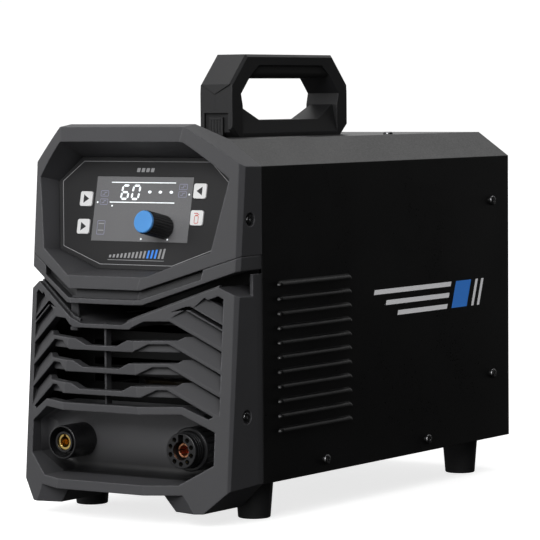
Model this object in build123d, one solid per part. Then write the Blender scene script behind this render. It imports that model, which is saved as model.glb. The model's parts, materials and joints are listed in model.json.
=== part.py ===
from build123d import *
import math
import os

os.makedirs("parts", exist_ok=True)

# Plasma cutter unit: a portable inverter power source with a steel cover, faceted plastic
# front, carrying handle, earth and torch sockets, and a fan at the back.
# Everything is laid out in millimetres with X to the right seen from the front, Y backwards
# from the front edge of the steel cover, and Z up from the floor. The finished nodes are
# moved along Y at the end, so that the origin lies on the floor under the middle of the unit.

# Steel cover, an upside-down trough with bevelled top corners
cover_half_width = 104.0
cover_length = 394.0
cover_bottom = 30.0
side_top = 280.0
roof_height = 301.0
roof_half_width = 74.0
cover_sheet = 1.2
sheet_gap = 0.1

# Plastic front: two side facets and a centre facet, shared by all three mouldings
facet_x = 103.0
facet_y = -29.6
facet_z = 184.7
facet_slope_x = 0.565
facet_slope_z = 0.08
bevel_x = 99.3
bevel_slope = 1.25
side_draft = 0.07
upper_centre_y = -69.3
upper_lean = 0.2035
lower_centre_y = -74.3
lower_centre_z = 100.0
lower_lean = 0.03
front_reach = -82.0
skin = 3.0

# Louvred lower front
louvre_pitch = 17.75
louvre_count = 4
frame_inner_x = 92.0
lip_height = 2.8
slat_depth = 9.0
slat_setback = 5.6

# Control panel, leaning back at the same angle as the bezel
panel_y = -16.2
panel_z = 245.5
panel_angle = math.degrees(math.atan(upper_lean))
plate_thick = 4.0
overlay_thick = 0.5
window_width = 95.2
window_height = 52.6
button_size = 12.2
button_gap = 0.1
button_stand = 1.4
knob_u = 24.0
knob_v = -14.3
knob_radius = 9.5
knob_height = 30.0
shaft_radius = 3.0
shaft_gap = 0.05

# Sockets on the recessed black panel
socket_x = 58.6
socket_z = 58.6
socket_front_y = -48.6
socket_panel_y = -20.0
socket_panel_thick = 2.5
earth_bore_radius = 4.5
earth_bore_length = 29.0

# Carrying handle
handle_half_width = 16.0
handle_middle_y = 176.5

# Feet
foot_x = 81.0
foot_front_y = 20.0
foot_rear_y = 346.0
foot_height = 30.0
foot_top_radius = 15.5
foot_bottom_radius = 13.0

# Rear panel and the parts on it
rear_y = 390.0
rear_thick = 1.5
fan_x = 0.0
fan_z = 118.0
fan_size = 119.0
fan_depth = 38.0
fan_bore = 56.5
rotor_radius = 55.0
switch_x = 50.0
switch_z = 238.0
rocker_tilt = 10.0
gland_x = -48.0
gland_z = 236.0
inlet_x = 0.0
inlet_z = 236.0
inlet_thread_radius = 6.58

front_end = lower_centre_y + lower_lean * (25.5 - lower_centre_z)
rear_end = 424.0
middle_y = (front_end + rear_end) / 2

nodes = {}


def prism_y(points, y0, y1):
    face = make_face(Polyline(*[(x, y0, z) for x, z in points], close=True))
    return extrude(face, amount=y1 - y0, dir=(0, 1, 0))


def prism_x(points, x0, x1):
    face = make_face(Polyline(*[(x0, y, z) for y, z in points], close=True))
    return extrude(face, amount=x1 - x0, dir=(1, 0, 0))


def block(x0, x1, y0, y1, z0, z1):
    return Pos((x0 + x1) / 2, (y0 + y1) / 2, (z0 + z1) / 2) * Box(x1 - x0, y1 - y0, z1 - z0)


def rod(start, direction, radius, length):
    plane = Plane(origin=start, z_dir=direction)
    return plane * Cylinder(radius, length, align=(Align.CENTER, Align.CENTER, Align.MIN))


def cone(start, direction, radius0, radius1, length):
    plane = Plane(origin=start, z_dir=direction)
    return plane * Cone(radius0, radius1, length, align=(Align.CENTER, Align.CENTER, Align.MIN))


def hexagon(start, direction, across_flats, length):
    plane = Plane(origin=start, z_dir=direction)
    radius = across_flats / math.sqrt(3)
    return plane * extrude(RegularPolygon(radius, 6), amount=length)


def both_sides(right_half):
    left_half = [(-x, z) for x, z in reversed(right_half)]
    return right_half + left_half


def inset(points, distance):
    # Moves every edge of a closed outline inwards by the distance.
    count = len(points)
    area = 0.0
    for i in range(count):
        ax, az = points[i]
        bx, bz = points[(i + 1) % count]
        area += ax * bz - bx * az
    sign = 1.0 if area > 0 else -1.0
    moved = []
    for i in range(count):
        px, pz = points[i - 1]
        cx, cz = points[i]
        nx, nz = points[(i + 1) % count]
        d1 = math.hypot(cx - px, cz - pz)
        d2 = math.hypot(nx - cx, nz - cz)
        e1 = ((cx - px) / d1, (cz - pz) / d1)
        e2 = ((nx - cx) / d2, (nz - cz) / d2)
        n1 = (-e1[1] * sign, e1[0] * sign)
        n2 = (-e2[1] * sign, e2[0] * sign)
        dot = 1.0 + n1[0] * n2[0] + n1[1] * n2[1]
        moved.append((cx + distance * (n1[0] + n2[0]) / dot, cz + distance * (n1[1] + n2[1]) / dot))
    return moved


def front_planes(centre_point, centre_lean, depth):
    # The centre facet, the two side facets, the bevels beside them and the drafted side walls,
    # all moved into the moulding by depth, but the side walls by no more than the skin.
    faces = [(Vector(*centre_point), Vector(0, -1, centre_lean), depth)]
    bevel_y = facet_y + facet_slope_x * (bevel_x - facet_x)
    wall_depth = min(depth, skin)
    for side in (-1, 1):
        facet_point = Vector(side * facet_x, facet_y, facet_z)
        bevel_point = Vector(side * bevel_x, bevel_y, facet_z)
        wall_point = Vector(side * cover_half_width, 0, facet_z)
        faces.append((facet_point, Vector(side * facet_slope_x, -1, facet_slope_z), depth))
        faces.append((bevel_point, Vector(side * bevel_slope, -1, facet_slope_z), depth))
        faces.append((wall_point, Vector(side, -side_draft, 0), wall_depth))
    planes = []
    for point, outward, distance in faces:
        normal = outward.normalized()
        planes.append(Plane(origin=point - normal * distance, z_dir=normal))
    return planes


def behind(shape, planes):
    for plane in planes:
        shape = split(shape, bisect_by=plane, keep=Keep.BOTTOM)
    return shape


def upper_front(depth):
    return front_planes((0, upper_centre_y, facet_z), upper_lean, depth)


def lower_front(depth):
    return front_planes((0, lower_centre_y, lower_centre_z), lower_lean, depth)


def facet_depth(x, z):
    # Y of the side facet at a point of the front elevation.
    return facet_y + facet_slope_z * (z - facet_z) + facet_slope_x * (abs(x) - facet_x)


def button_screw(seat, direction, thread_radius, length, head_radius, head_height):
    # Low round-headed screw with a hexagon socket; seat is the centre of the head's underside.
    reverse = (-direction[0], -direction[1], -direction[2])
    head = rod(seat, direction, head_radius, head_height)
    rims = head.edges().filter_by(GeomType.CIRCLE)
    rims = rims.sort_by(lambda edge: -dot_along(edge, seat, direction))
    head = fillet(rims[0], head_height * 0.7)
    shank = rod(seat, reverse, thread_radius, length)
    top = [seat[i] + direction[i] * (head_height * 0.35) for i in range(3)]
    return head + shank - hexagon(top, direction, head_radius * 0.62, head_height)


def dot_along(edge, seat, direction):
    centre = edge.center()
    return sum((c - s) * d for c, s, d in zip((centre.X, centre.Y, centre.Z), seat, direction))


def group(shapes):
    # One node made of several separate solids.
    return Compound([solid for shape in shapes for solid in shape.solids()])


def add(name, shape):
    nodes[name] = shape


# ---------------------------------------------------------------- steel cover
cover_outline = both_sides([(roof_half_width, roof_height), (cover_half_width, side_top),
                            (cover_half_width, cover_bottom)])
inner_outline = inset(cover_outline, cover_sheet)
inner_outline = [(x, z if z > cover_bottom + 5 else cover_bottom - 5) for x, z in inner_outline]
cover = prism_y(cover_outline, 0, cover_length) - prism_y(inner_outline, -1, cover_length + 1)

# Pressed half-round hoods, open underneath, eleven on each side
louvre_rows = 11
louvre_bottom = 69.0
louvre_step = 11.62
louvre_start_y = 24.5
louvre_end_y = 124.5
hood_radius = 3.6
hood_sill = 0.9
for side in (-1, 1):
    for row in range(louvre_rows):
        z = louvre_bottom + row * louvre_step
        wall_x = side * cover_half_width
        outer = rod((wall_x, louvre_start_y, z), (0, 1, 0), hood_radius, louvre_end_y - louvre_start_y)
        bore_radius = hood_radius - cover_sheet
        inner = rod((wall_x, louvre_start_y, z), (0, 1, 0), bore_radius, louvre_end_y - louvre_start_y)
        for end_y in (louvre_start_y, louvre_end_y):
            outer += Pos(wall_x, end_y, z) * Sphere(hood_radius)
            inner += Pos(wall_x, end_y, z) * Sphere(bore_radius)
        low_x = min(wall_x - side * cover_sheet, wall_x + side * 6)
        high_x = max(wall_x - side * cover_sheet, wall_x + side * 6)
        row_y0 = louvre_start_y - 6
        row_y1 = louvre_end_y + 6
        cover = cover + (outer & block(low_x, high_x, row_y0, row_y1, z, z + 6))
        cover = cover - (inner & block(low_x, high_x, row_y0, row_y1, z - 0.01, z + 6))
        sill = block(wall_x - cover_sheet, wall_x + cover_sheet, row_y0, row_y1, z - 0.1, z + hood_sill)
        cover = cover + (sill & prism_y(cover_outline, row_y0, row_y1))

cover_screw_spots = [(364.5, 241.0), (364.5, 87.4), (91.0, 40.0), (252.0, 40.0)]
for side in (-1, 1):
    for y, z in cover_screw_spots:
        cover -= rod((side * (cover_half_width + 1), y, z), (-side, 0, 0), 2.3, 4)
roof_screw_x = 62.0
roof_screw_y = 258.0
for side in (-1, 1):
    cover -= rod((side * roof_screw_x, roof_screw_y, roof_height + 1), (0, 0, -1), 2.3, 4)
handle_screw_spots = [(-9.0, 99.5), (9.0, 99.5), (-9.0, 253.5), (9.0, 253.5)]
for x, y in handle_screw_spots:
    cover -= rod((x, y, roof_height + 1), (0, 0, -1), 2.6, 4)
add("case_cover", cover)

# ---------------------------------------------------------------- base tray
tray_sheet = 1.5
tray_half = cover_half_width - cover_sheet - sheet_gap
tray_top = 52.0
tray_length = rear_y - 1.0
tray = block(-tray_half, tray_half, 0.5, tray_length, cover_bottom, cover_bottom + tray_sheet)
for side in (-1, 1):
    x0 = min(side * tray_half, side * (tray_half - tray_sheet))
    x1 = max(side * tray_half, side * (tray_half - tray_sheet))
    tray += block(x0, x1, 0.5, tray_length, cover_bottom, tray_top)
board_post_spots = [(-80.0, 50.0), (80.0, 50.0), (-80.0, 320.0), (80.0, 320.0)]
board_z = 48.0
for x, y in board_post_spots:
    tray += rod((x, y, cover_bottom), (0, 0, 1), 4.0, board_z - cover_bottom)
for x in (-foot_x, foot_x):
    for y in (foot_front_y, foot_rear_y):
        tray -= rod((x, y, cover_bottom - 1), (0, 0, 1), 2.6, 4)
for side in (-1, 1):
    for y, z in cover_screw_spots[2:]:
        tray -= rod((side * (cover_half_width + 1), y, z), (-side, 0, 0), 2.0, 6)
# Air slots in the floor under the power parts
for row in range(7):
    tray -= block(-45, 45, 120 + row * 14, 124 + row * 14, cover_bottom - 1, cover_bottom + 4)
add("base_tray", tray)

# ---------------------------------------------------------------- front bulkhead
bulk_half = 100.0
bulk_y0 = 0.5
bulk_y1 = 2.0
bulk_z0 = cover_bottom + tray_sheet
bulk_z1 = 200.0
ear_top = 256.0
flange_x = 98.3
bulk = block(-bulk_half, bulk_half, bulk_y0, bulk_y1, bulk_z0, bulk_z1)
front_screw_spots = [(-14.6, 239.0), (-20.5, 85.0)]
front_screw_seat = 101.2
for side in (-1, 1):
    x0 = min(side * bulk_half, side * 92.0)
    x1 = max(side * bulk_half, side * 92.0)
    bulk += block(x0, x1, bulk_y0, bulk_y1, bulk_z1, ear_top)
    fx0 = min(side * flange_x, side * (flange_x - 1.5))
    fx1 = max(side * flange_x, side * (flange_x - 1.5))
    bulk += block(fx0, fx1, -21.0, bulk_y1, 229.0, 249.0)
    bulk += block(fx0, fx1, -26.0, bulk_y1, 72.0, 98.0)
    for y, z in front_screw_spots:
        bulk -= rod((side * (bulk_half + 3), y, z), (-side, 0, 0), 1.9, 8)
for row in range(5):
    bulk -= block(-62, 62, bulk_y0 - 1, bulk_y1 + 1, 104 + row * 14, 110 + row * 14)
for side in (-1, 1):
    bulk -= rod((side * socket_x, bulk_y0 - 1, socket_z), (0, 1, 0), 19.0, 4)
add("front_bulkhead", bulk)

# ---------------------------------------------------------------- bezel
bezel_front = both_sides([(60.0, 306.5), (103.0, 279.0), (103.0, 211.0), (35.0, 184.7)])
bezel_crest = both_sides([(61.0, 313.5), (103.4, 279.5), (103.4, 211.0), (35.0, 184.7)])
bezel_rear = both_sides([(roof_half_width, roof_height), (cover_half_width, side_top),
                         (cover_half_width, 211.0), (35.0, 184.7)])
crest_y = -28.0


def bezel_body(distance, last_y):
    sections = []
    for outline, y in ((bezel_front, front_reach), (bezel_crest, crest_y), (bezel_rear, last_y)):
        points = [(x, y, z) for x, z in inset(outline, distance)]
        sections.append(make_face(Polyline(*points, close=True)))
    return loft(sections, ruled=True)


# Local frame of the control panel: u to the right, v up the slope, d out of the face.
panel = Plane(origin=(0, panel_y, panel_z), x_dir=(1, 0, 0),
              z_dir=(0, -math.cos(math.radians(panel_angle)), math.sin(math.radians(panel_angle))))
panel_outline = both_sides([(65.0, 41.8), (86.5, 21.9), (77.5, -33.7), (36.5, -49.0)])
mouth_outline = both_sides([(57.6, 50.2), (109.4, 23.9), (94.5, -41.0), (39.0, -65.4)])
mouth_distance = 60.0


def funnel(distance, start):
    back = make_face(Polyline(*[(u, v, start) for u, v in inset(panel_outline, distance)], close=True))
    mouth = [(u, v, mouth_distance) for u, v in inset(mouth_outline, distance)]
    mouth = make_face(Polyline(*mouth, close=True))
    return panel * loft([back, mouth], ruled=True)


bezel_outer = behind(bezel_body(0, 0), upper_front(0))
bezel_hollow = behind(bezel_body(skin, 1), upper_front(skin))
bezel = bezel_outer - bezel_hollow
bezel += funnel(-2.5, 0) & bezel_outer
bezel -= funnel(0, 0)
bezel -= panel * extrude(make_face(Polyline(*[(u, v, 0) for u, v in panel_outline], close=True)), amount=-30)

tongue_outer = inset(cover_outline, cover_sheet + sheet_gap)
tongue_inner = inset(cover_outline, cover_sheet + sheet_gap + 2.5)
tongue = prism_y(tongue_outer, -2, 8) - prism_y(tongue_inner, -3, 9)
tongue &= block(-110, 110, -3, 9, 214, 320)
bezel += tongue
for side in (-1, 1):
    y, z = front_screw_spots[0]
    bezel -= rod((side * 98, y, z), (side, 0, 0), 2.2, 10)
    bezel -= rod((side * front_screw_seat, y, z), (side, 0, 0), 5.5, 10)
add("front_bezel", bezel)

# ---------------------------------------------------------------- chin under the bezel
chin_side = 103.5
recess_end_x = 77.5
chin_right = [(0, 177.0), (34.5, 177.2), (76.0, 192.8), (recess_end_x, 200.7), (chin_side, 210.6),
              (chin_side, 199.8), (98.6, 198.3), (36.7, 173.4), (0, 173.3)]
chin_back = [(0, 184.3), (34.9, 184.3), (100.0, 209.0), (100.0, 204.0), (37.1, 175.0), (0, 175.0)]


def mirrored(points):
    return [(-x, z) for x, z in points]


def chin_layer(points, depth0, depth1):
    layer = behind(prism_y(points, front_reach, 0), upper_front(depth0))
    return layer - behind(prism_y(inset(points, -1), front_reach, 1), upper_front(depth1))


# Front band with its raised ends, and the sunk floor between the band and the bezel
chin = chin_layer(chin_right, 0, 12) + chin_layer(mirrored(chin_right), 0, 12)
chin += chin_layer(chin_back, 6.5, 9.5) + chin_layer(mirrored(chin_back), 6.5, 9.5)
clip_x = 33.0
clip_half = 3.5
for side in (-1, 1):
    x0 = min(side * chin_side, side * (chin_side - skin))
    x1 = max(side * chin_side, side * (chin_side - skin))
    wall = block(x0, x1, -40, 0, 199.8, 209.2)
    chin += behind(wall, upper_front(0))
# Clip tongue on the left that hooks behind the top rail of the lower moulding
chin += block(-clip_x - clip_half, -clip_x + clip_half, -62.5, -60.0, 151.0, 178.0)
chin += block(-clip_x - clip_half, -clip_x + clip_half, -64.0, -60.0, 151.0, 153.5)
add("front_chin", chin)

# ---------------------------------------------------------------- louvred lower front
grille_side = 103.5
lip_bottom = 25.8
grille_right = [(19.7, 157.4), (88.0, 187.0), (grille_side, 178.4), (grille_side, 30.5),
                (99.8, 27.6), (83.5, 11.2), (56.5, 11.2), (45.2, lip_bottom)]
grille_outline = both_sides(grille_right)
dish_front_y = -36.0
recess_outline = both_sides([(66.0, 88.5), (89.5, 74.6), (89.5, 48.8), (66.0, 33.6)])


def lobe_front(side, depth):
    # What lies in front of the sloping inner face of a lobe, moved in by depth.
    x0 = min(side * 30.0, side * 92.0)
    x1 = max(side * 30.0, side * 92.0)
    normal = Vector(-side * 0.225, -0.917, -0.328).normalized()
    slant = Plane(origin=Vector(side * 68.0, -61.9, 28.9) - normal * depth, z_dir=normal)
    return split(block(x0, x1, -90, 0, 5.0, lip_bottom + depth), bisect_by=slant, keep=Keep.TOP)


grille_outer = behind(prism_y(grille_outline, front_reach, 0), lower_front(0))
grille_hollow = behind(prism_y(inset(grille_outline, skin), front_reach, 1), lower_front(skin))
for side in (-1, 1):
    grille_outer -= lobe_front(side, 0)
    grille_hollow -= lobe_front(side, skin)
grille = grille_outer - grille_hollow

# Deep block that the louvre openings are cut from
louvre_zone = both_sides([(19.0, 157.2), (89.3, 187.1), (95.0, 184.0), (95.0, 84.0), (66.0, 90.0)])
deep = behind(prism_y(louvre_zone, front_reach, -15), lower_front(0.5))
deep -= behind(prism_y(inset(louvre_zone, -1), front_reach, 0), lower_front(slat_depth))
top_rail = [(0, 153.0), (28.0, 153.0), (92.0, 181.0), (92.0, 190.0), (0, 190.0)]
deep -= behind(prism_y(top_rail, front_reach, 0), lower_front(6.5))
deep -= behind(prism_y([(-x, z) for x, z in top_rail], front_reach, 0), lower_front(6.5))
grille += deep & grille_outer


def lip_line(k):
    # Lower edge of slat k (slat 0 hangs from the top rail), from the middle to the side frame.
    drop = louvre_pitch * k
    inner = 27.0 + 3.7 * k
    outer = 38.0 + 3.6 * k
    return [(inner, 154.3 - 17.5 * k), (outer, 160.7 - drop), (55.8, 160.7 - drop),
            (frame_inner_x, 137.1 - drop)]


def ledge_line(k):
    # Upper edge of slat k + 1, from the side frame back to the middle.
    drop = louvre_pitch * k
    return [(frame_inner_x, 133.9 - drop), (71.0, 148.2 - drop), (64.8, 148.2 - drop),
            (61.2, 145.7 - drop), (25.3 + 2.2 * k, 145.7 - drop), (14.8 + 2.9 * k, 140.6 - 17.4 * k)]


openings = []
for k in range(louvre_count - 1):
    openings.append(both_sides(lip_line(k) + ledge_line(k)))
last = louvre_count - 1
openings.append(both_sides(lip_line(last)[:3] + [(88.0, 86.5), (84.5, 84.6), (66.5, 94.4)]))
for outline in openings:
    grille -= prism_y(outline, front_reach, 0.0)

top_gap = [(56.0, 167.6), (66.0, 171.9), (69.4, 172.3), (frame_inner_x, 157.6), (frame_inner_x, 154.2),
           (69.0, 169.2), (65.5, 169.4)]
corner_hole = [(80.5, 176.8), (88.4, 180.2), (frame_inner_x, 177.6), (frame_inner_x, 169.5)]
for outline in (top_gap, corner_hole):
    grille -= prism_y(outline, front_reach, 0.0)
    grille -= prism_y([(-x, z) for x, z in outline], front_reach, 0.0)

# Each slanting slat face leans back from its lip, starting from nothing at the shoulder
slope = (160.7 - 137.1) / (frame_inner_x - 55.8)
wedge_start_x = 57.0
wedge_full_x = 66.0


def slat_wedge(full_x, start_x, shoulder):
    faces = []
    for x, share in ((start_x, 0.05), (full_x, 1.0), (frame_inner_x, 1.0)):
        low = shoulder - slope * (x - 55.8) + lip_height
        high = low + (louvre_pitch - lip_height - 2.0) * share
        y_low = facet_depth(x, low)
        y_high = facet_depth(x, high)
        y_back = y_high + slat_setback * share
        points = [(x, y_low, low), (x, y_low - 6, low), (x, y_high - 6, high), (x, y_back, high)]
        faces.append(make_face(Polyline(*points, close=True)))
    return loft(faces, ruled=True)


wedges = [slat_wedge(79.0, 72.0, 178.3)]
for k in range(louvre_count):
    wedges.append(slat_wedge(wedge_full_x, wedge_start_x, 160.7 - louvre_pitch * k))
for wedge in wedges:
    grille -= wedge
    grille -= wedge.mirror(Plane.YZ)

# Sunk web that closes the notch in the lower edge of each slat
for k in range(louvre_count):
    web_bottom = 136.6 - 17.6 * k + louvre_pitch
    if k > 0:
        web = [(26.0 + 3.7 * k, web_bottom + 0.4), (61.5, web_bottom - 0.6), (61.5, web_bottom + 9.0),
               (26.0 + 3.7 * k, web_bottom + 9.0)]
        for outline in (web, mirrored(web)):
            layer = behind(prism_y(outline, front_reach, -20), lower_front(4.5))
            grille += layer - behind(prism_y(inset(outline, -1), front_reach, 0), lower_front(6.5))

# Raised strip behind the top edge of the top rail
strip = [(22.5, 160.6), (87.0, 188.3), (87.0, 184.0), (24.0, 157.0)]
for outline in (strip, mirrored(strip)):
    layer = behind(prism_y(outline, front_reach, -15), lower_front(3.5))
    grille += layer - behind(prism_y(inset(outline, -1), front_reach, 0), lower_front(6.0))

# Socket recess and its tunnel walls
tunnel = prism_y(inset(recess_outline, -2.5), front_reach, dish_front_y) & grille_outer
grille += tunnel
grille -= prism_y(recess_outline, front_reach, 5)
slot_half = clip_half + 0.7
grille -= block(-clip_x - slot_half, -clip_x + slot_half, -64.4, -58.5, 149.0, 180.0)
# Thin rib behind the slats and the side walls' upper corners
grille += block(-0.8, 0.8, -67.0, -60.0, 94.0, 158.0)
for side in (-1, 1):
    x0 = min(side * grille_side, side * (grille_side - skin))
    x1 = max(side * grille_side, side * (grille_side - skin))
    grille += behind(block(x0, x1, -12.0, 0.0, 176.0, 196.2), lower_front(0))
    y, z = front_screw_spots[1]
    grille -= rod((side * 97, y, z), (side, 0, 0), 2.2, 10)
    grille -= rod((side * front_screw_seat, y, z), (side, 0, 0), 5.5, 10)
add("front_grille", grille)

# ---------------------------------------------------------------- socket panel
# A shallow dish with rounded inner corners that closes the back of the recess
dish_back_y = socket_panel_y + socket_panel_thick
dish_radius = 7.0
socket_plate = prism_y(inset(recess_outline, -2.4), dish_front_y + 0.1, dish_back_y)
hollow = prism_y(recess_outline, dish_front_y - 1, socket_panel_y)
hollow = fillet(hollow.faces().sort_by(Axis.Y)[-1].edges(), dish_radius)
socket_plate -= hollow
for side in (-1, 1):
    socket_plate -= rod((side * socket_x, socket_panel_y - 1, socket_z), (0, 1, 0), 11.0, 5)
add("socket_panel", socket_plate)

# ---------------------------------------------------------------- control panel
plate_outline = inset(panel_outline, -3.5)
plate = extrude(make_face(Polyline(*[(u, v, 0) for u, v in plate_outline], close=True)), amount=-plate_thick)
pocket_depth = 2.5
plate -= Pos(0, 0, -pocket_depth / 2) * Box(window_width, window_height, pocket_depth)
plate -= Pos(0, 0, -plate_thick) * Box(window_width - 4, window_height - 4, plate_thick * 2)
overlay_outline = inset(panel_outline, 0.15)
overlay = make_face(Polyline(*[(u, v, 0) for u, v in overlay_outline], close=True))
overlay = extrude(overlay, amount=overlay_thick)
overlay -= Box(window_width, window_height, 4)
button_spots = {
    "button_left_upper": (-55.7, 7.6),
    "button_left_lower": (-55.7, -15.0),
    "button_right_upper": (55.5, 15.1),
    "button_right_lower": (55.0, -6.3),
}
button_hole = button_size + 2 * button_gap


def rounded_pad(size, radius, d0, d1):
    return Pos(0, 0, d0) * extrude(RectangleRounded(size, size, radius), amount=d1 - d0)


for u, v in button_spots.values():
    hole = Pos(u, v, 0) * rounded_pad(button_hole, 1.9, -plate_thick - 1, overlay_thick + 1)
    plate -= hole
    overlay -= hole
spacer_spots = [(-68.0, 20.0), (68.0, 20.0), (-60.0, -34.0), (60.0, -34.0)]
add("control_plate", panel * plate)
add("panel_overlay", panel * overlay)

lens = Pos(0, 0, -pocket_depth) * extrude(Rectangle(window_width - 0.2, window_height - 0.2), amount=2.8)
lens -= Pos(knob_u, knob_v, 0) * Cylinder(4.2, 10)
add("display_window", panel * lens)

board_d = -16.0
board_thick = 1.6
board_face = board_d + board_thick
switch_top = board_face + 5.2
button_foot = switch_top + 1.0
for name, (u, v) in button_spots.items():
    cap = rounded_pad(button_size, 1.8, -plate_thick - 0.2, overlay_thick + button_stand)
    cap = fillet(cap.faces().sort_by(Axis.Z)[-1].edges(), 0.5)
    cap += rounded_pad(button_size + 2.6, 2.4, -plate_thick - 1.4, -plate_thick - 0.2)
    cap += Pos(0, 0, button_foot) * Cylinder(2.0, -plate_thick - 1.0 - button_foot,
                                             align=(Align.CENTER, Align.CENTER, Align.MIN))
    add(name, panel * Pos(u, v, 0) * cap)

# Circuit board behind the panel, with its key switches, display block and rotary encoder
board = Pos(0, -4, board_d) * extrude(Rectangle(150, 68), amount=board_thick)
for u, v in spacer_spots:
    board -= Pos(u, v, board_d) * Cylinder(1.7, 6)
board += Pos(-30, -33, board_d - 4.5) * Box(34, 8, 9)
board += Pos(28, -33, board_d - 4.5) * Box(22, 8, 9)
board += Pos(-10, 2, board_d - 1.2) * Box(14, 14, 2.4)
board += Pos(30, 6, board_d - 1.0) * Box(10, 7, 2.0)
add("control_board", panel * board)
switches = []
for u, v in button_spots.values():
    switch = Pos(u, v, board_face) * Box(6.2, 6.2, 3.5, align=(Align.CENTER, Align.CENTER, Align.MIN))
    switch += Pos(u, v, board_face) * Cylinder(1.7, 5.2, align=(Align.CENTER, Align.CENTER, Align.MIN))
    switches.append(panel * switch)
add("button_switches", group(switches))
display = Pos(-4, 13, board_face) * Box(74, 19, 8.0, align=(Align.CENTER, Align.CENTER, Align.MIN))
for digit in range(5):
    display -= Pos(-33 + digit * 14.5, 13, board_face + 8.0) * Box(11, 15, 0.8)
add("display_module", panel * display)
spacers = []
spacer_length = -plate_thick - board_face
for u, v in spacer_spots:
    spacers.append(panel * Pos(u, v, board_face) * extrude(RegularPolygon(3.4, 6), amount=spacer_length))
add("board_spacers", group(spacers))

shaft_bottom = board_face + 1.0
bush_top = -0.4
encoder = Pos(0, 0, board_face) * Box(13.4, 13.4, 7.0, align=(Align.CENTER, Align.CENTER, Align.MIN))
encoder += Pos(0, 0, board_face + 7.0) * Cylinder(3.6, bush_top - board_face - 7.0,
                                                  align=(Align.CENTER, Align.CENTER, Align.MIN))
encoder -= Pos(0, 0, shaft_bottom) * Cylinder(shaft_radius + shaft_gap, 20,
                                              align=(Align.CENTER, Align.CENTER, Align.MIN))
add("encoder_body", panel * Pos(knob_u, knob_v, 0) * encoder)
shaft_top = 14.0
shaft = Pos(0, 0, shaft_bottom + 0.3) * Cylinder(shaft_radius, shaft_top - shaft_bottom - 0.3,
                                                 align=(Align.CENTER, Align.CENTER, Align.MIN))
add("encoder_shaft", panel * Pos(knob_u, knob_v, 0) * shaft)

knob_foot = 1.3
knob_body_top = 27.4
knob = Pos(0, 0, knob_foot) * Cylinder(knob_radius, knob_body_top - knob_foot,
                                       align=(Align.CENTER, Align.CENTER, Align.MIN))
knob = chamfer(knob.edges().filter_by(GeomType.CIRCLE), 0.5)
knob_ribs = 24
for i in range(knob_ribs):
    angle = 2 * math.pi * i / knob_ribs
    knob -= Pos(knob_radius * math.cos(angle), knob_radius * math.sin(angle), 0) * Cylinder(0.75, 60)
knob -= Pos(0, 0, knob_foot - 0.1) * Cylinder(shaft_radius, shaft_top - knob_foot + 0.1,
                                              align=(Align.CENTER, Align.CENTER, Align.MIN))
cap_seat = 24.5
cap_radius = 8.1
knob -= Pos(0, 0, cap_seat) * Cylinder(cap_radius, 5, align=(Align.CENTER, Align.CENTER, Align.MIN))
add("knob_body", panel * Pos(knob_u, knob_v, 0) * knob)
cap = Pos(0, 0, cap_seat) * Cylinder(cap_radius, knob_body_top - cap_seat,
                                     align=(Align.CENTER, Align.CENTER, Align.MIN))
crown = Pos(0, 0, knob_body_top) * Cylinder(cap_radius + 0.9, knob_height - knob_body_top,
                                            align=(Align.CENTER, Align.CENTER, Align.MIN))
crown = fillet(crown.faces().sort_by(Axis.Z)[-1].edges(), 1.2)
add("knob_cap", panel * Pos(knob_u, knob_v, 0) * (cap + crown))

# ---------------------------------------------------------------- earth socket
forward = (0, -1, 0)
backward = (0, 1, 0)


def ring_y(x, z, outer, inner, y0, y1):
    return rod((x, y0, z), backward, outer, y1 - y0) - rod((x, y0 - 1, z), backward, inner, y1 - y0 + 2)


earth_x = -socket_x
earth_radius = 13.6
contact_radius = 6.7
earth_body = rod((earth_x, socket_front_y, socket_z), backward, earth_radius, socket_panel_y - socket_front_y)
earth_body = fillet(earth_body.edges().filter_by(GeomType.CIRCLE).sort_by(Axis.Y)[0], 0.7)
earth_body += rod((earth_x, socket_panel_y, socket_z), backward, 10.9, 8.0)
earth_body -= ring_y(earth_x, socket_z, 12.3, 8.3, socket_front_y - 1, socket_front_y + 13.0)
earth_body -= rod((earth_x, socket_front_y - 1, socket_z), backward, 8.31, 3.6)
earth_body -= rod((earth_x, socket_front_y - 1, socket_z), backward, contact_radius, 60)
add("earth_socket_insulator", earth_body)

contact_front = socket_front_y + 4.0
contact_length = socket_panel_y + 8.0 - contact_front
contact = rod((earth_x, contact_front, socket_z), backward, contact_radius, contact_length)
contact = chamfer(contact.edges().filter_by(GeomType.CIRCLE).sort_by(Axis.Y)[0], 0.5)
contact += rod((earth_x, socket_panel_y + 8.0, socket_z), backward, 5.0, 20.0)
contact -= rod((earth_x, contact_front - 1, socket_z), backward, earth_bore_radius, earth_bore_length + 1.0)
contact -= block(earth_x - 1.3, earth_x + 1.3, contact_front - 1, contact_front + 9.0,
                 socket_z, socket_z + 5.9)
add("earth_socket_contact", contact)
nut = hexagon((earth_x, socket_panel_y + 8.0, socket_z), backward, 17.0, 6.0)
nut -= rod((earth_x, socket_panel_y + 7.0, socket_z), backward, 5.0, 10.0)
add("earth_socket_nut", nut)

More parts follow.
